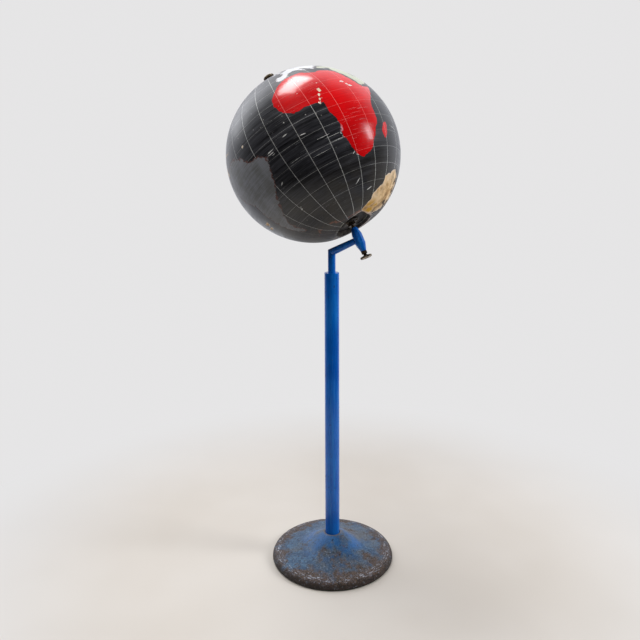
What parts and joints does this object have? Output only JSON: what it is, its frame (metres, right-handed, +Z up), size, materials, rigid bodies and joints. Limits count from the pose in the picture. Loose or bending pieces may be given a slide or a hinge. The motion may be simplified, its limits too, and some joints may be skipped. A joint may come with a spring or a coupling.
{
  "type": "slate globe on pedestal",
  "caption": "School slate globe on a tilted axle, carried by a cranked arm on a tube post with a round cast base; the globe spins and the arm swivels.",
  "frame": {"origin": "on the floor, at the centre of the baize pad's underside, on the post's axis", "axes": "+Z up along the post, +X the way the arm reaches out at rest, so that the arm, the boss and the polar axis lie in the XZ plane"},
  "size_m": [0.3999, 0.4, 1.1684],
  "materials": {
    "blue_paint": "satin blue enamel",
    "worn_base": "worn blue paint with rust",
    "slate_ball": "blackboard paint with a painted map",
    "pole_plate": "dark stained wood",
    "inner_wood": "bare wood",
    "bronze": "tarnished brass",
    "hardware_steel": "darkened steel",
    "baize": "green baize"
  },
  "bodies": {
    "stand": {"baize_pad": "baize", "base_casting": "worn_base", "base_washer": "hardware_steel", "base_bolt": "hardware_steel", "post_plug": "hardware_steel", "post_tube": "blue_paint", "swivel_plug": "hardware_steel", "post_bush": "blue_paint"},
    "arm": {"arm_upright": "blue_paint", "arm_bar": "blue_paint", "axle_boss": "blue_paint", "axle_rod": "hardware_steel", "lock_nut": "hardware_steel", "axle_collar": "hardware_steel", "collar_screw": "hardware_steel", "thrust_washer": "bronze", "pole_washer": "hardware_steel"},
    "globe": {"north_shell": "slate_ball", "south_shell": "slate_ball", "equator_hoop": "inner_wood", "core_pillar": "inner_wood", "north_plate": "inner_wood", "south_plate": "pole_plate", "south_bush": "bronze", "bush_screw_1": "hardware_steel", "bush_screw_2": "hardware_steel", "bush_screw_3": "hardware_steel", "north_hub": "bronze"},
    "thumb_washer": {"thumb_washer": "hardware_steel"},
    "thumb_nut": {"thumb_nut": "bronze"},
    "pole_nut": {"pole_nut": "bronze"}
  },
  "joints": [
    {"name": "arm_swivel", "type": "hinge", "parent": "stand", "child": "arm", "pos_m": [0, 0, 0.702], "axis": [0, 0, 1], "continuous": true},
    {"name": "globe_spin", "type": "hinge", "parent": "arm", "child": "globe", "pos_m": [-0.05191, 0, 0.96866], "axis": [-0.5793, 0, 0.8151], "continuous": true},
    {"name": "thumb_nut_travel", "type": "slide", "parent": "arm", "child": "thumb_washer", "axis": [0.4695, 0, -0.8829], "range_m": [0, 0.0045]},
    {"name": "thumb_nut_turn", "type": "hinge", "parent": "thumb_washer", "child": "thumb_nut", "pos_m": [0.09492, 0, 0.74548], "axis": [0.4695, 0, -0.8829], "range_deg": [0, 1260]},
    {"name": "pole_nut_turn", "type": "hinge", "parent": "arm", "child": "pole_nut", "pos_m": [-0.18503, 0, 1.15597], "axis": [-0.5793, 0, 0.8151], "range_deg": [0, 1260]}
  ],
  "couplings": [
    {"joint": "thumb_nut_travel", "follows": "thumb_nut_turn", "m_per_rad": 0.00019894}
  ]
}
